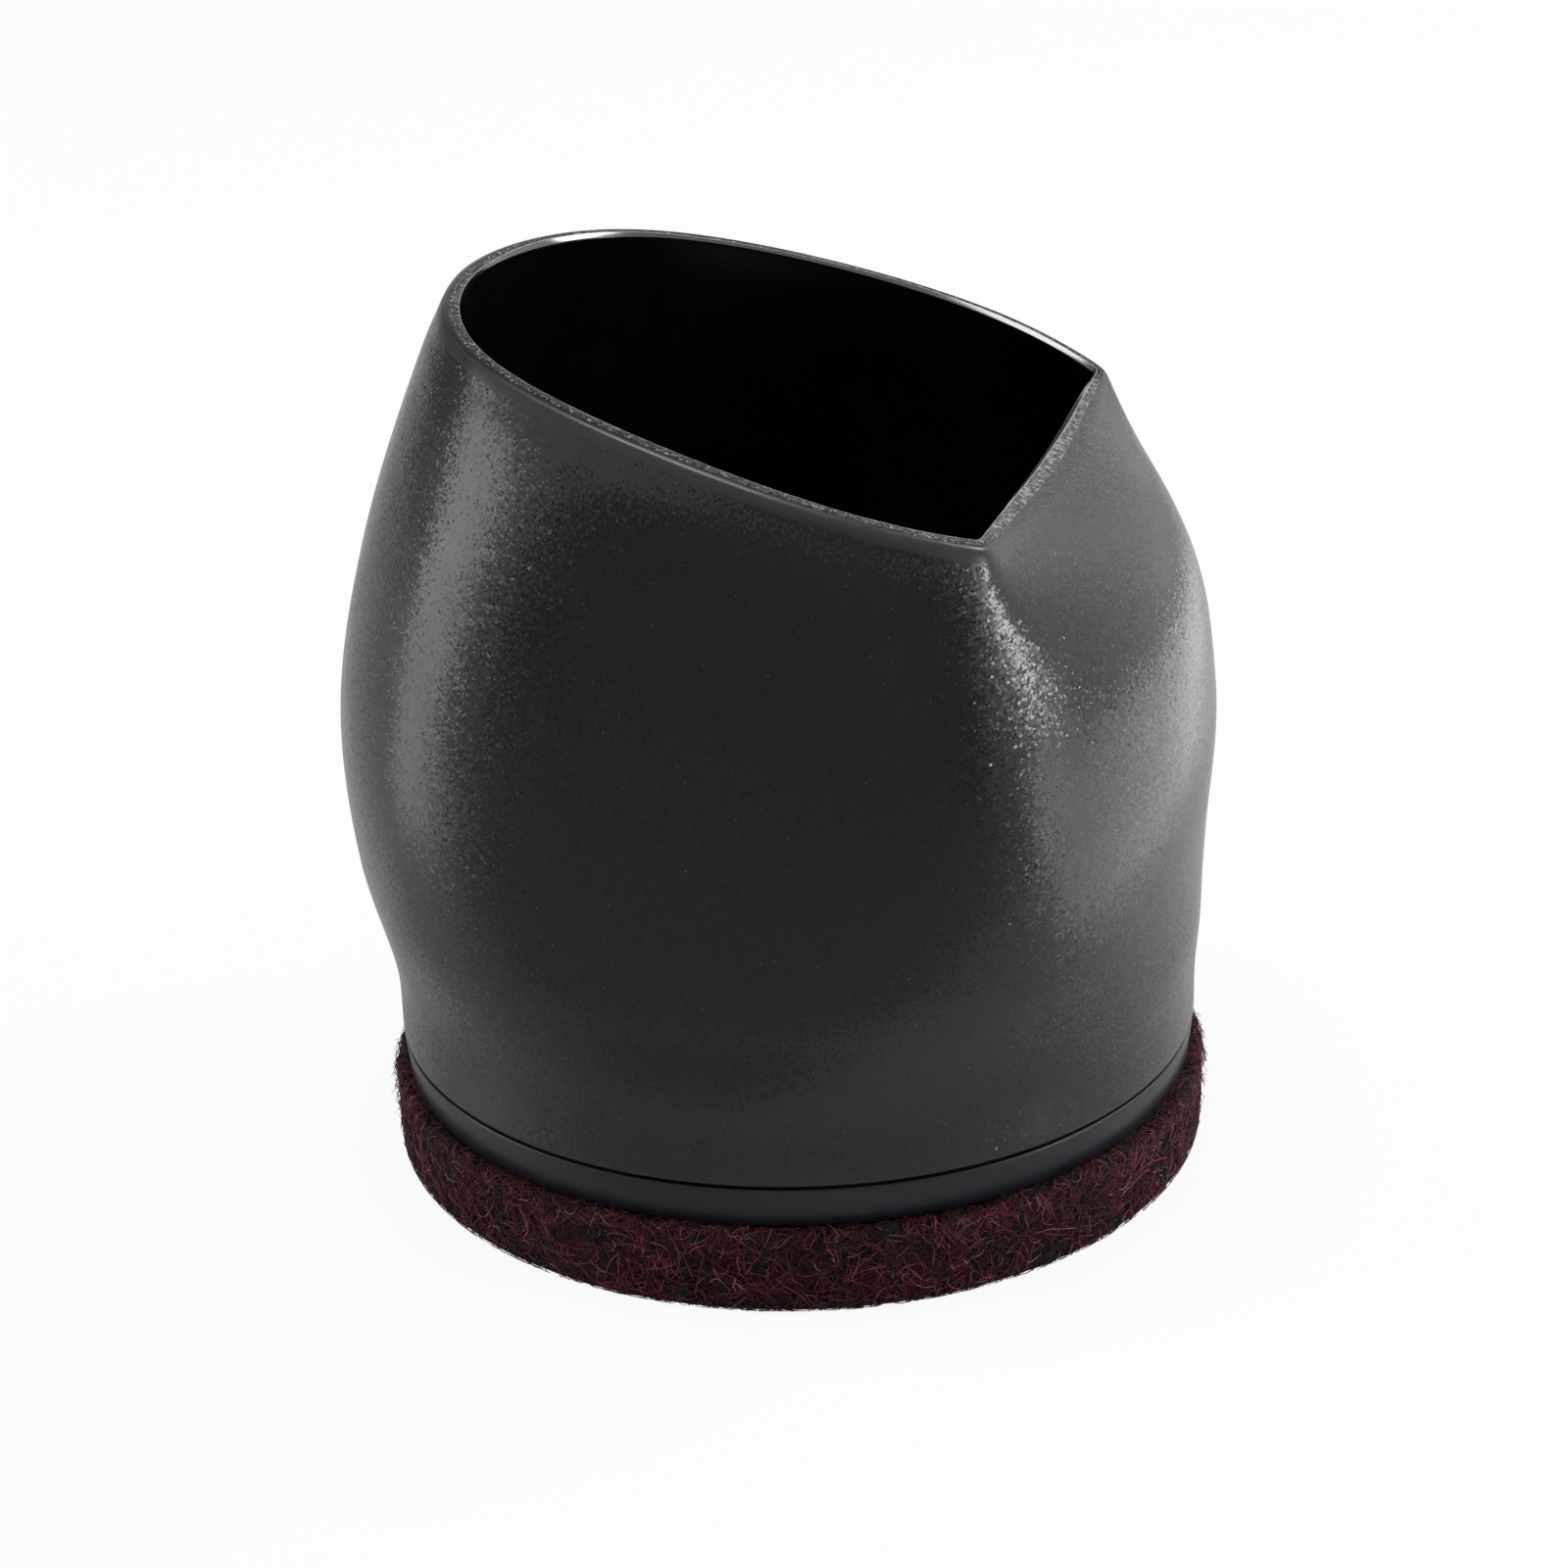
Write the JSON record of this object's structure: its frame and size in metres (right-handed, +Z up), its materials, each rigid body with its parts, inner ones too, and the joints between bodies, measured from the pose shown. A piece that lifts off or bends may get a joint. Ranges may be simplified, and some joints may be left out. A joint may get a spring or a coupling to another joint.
{
  "type": "caster cup",
  "caption": "Soft moulded cup with a slanted D-shaped mouth on a rigid base plate with a thick felt pad, which a chair caster drops into so that it slides on a floor without marks.",
  "frame": {"origin": "centre of the felt pad's underside, on the floor", "axes": "+Z up through the cup, +X towards the low straight side of the slanted mouth, +Y across"},
  "size_m": [0.0671, 0.064, 0.0686],
  "materials": {
    "cup": "soft black vinyl, fine moulded grain outside, glossy inside",
    "plate": "smooth blue-black satin plastic",
    "film": "double-sided adhesive film",
    "felt": "mottled maroon and black needle felt"
  },
  "bodies": {
    "root": {"cup_shell": "cup", "base_plate": "plate", "adhesive_film": "film", "felt_pad": "felt"}
  },
  "joints": []
}
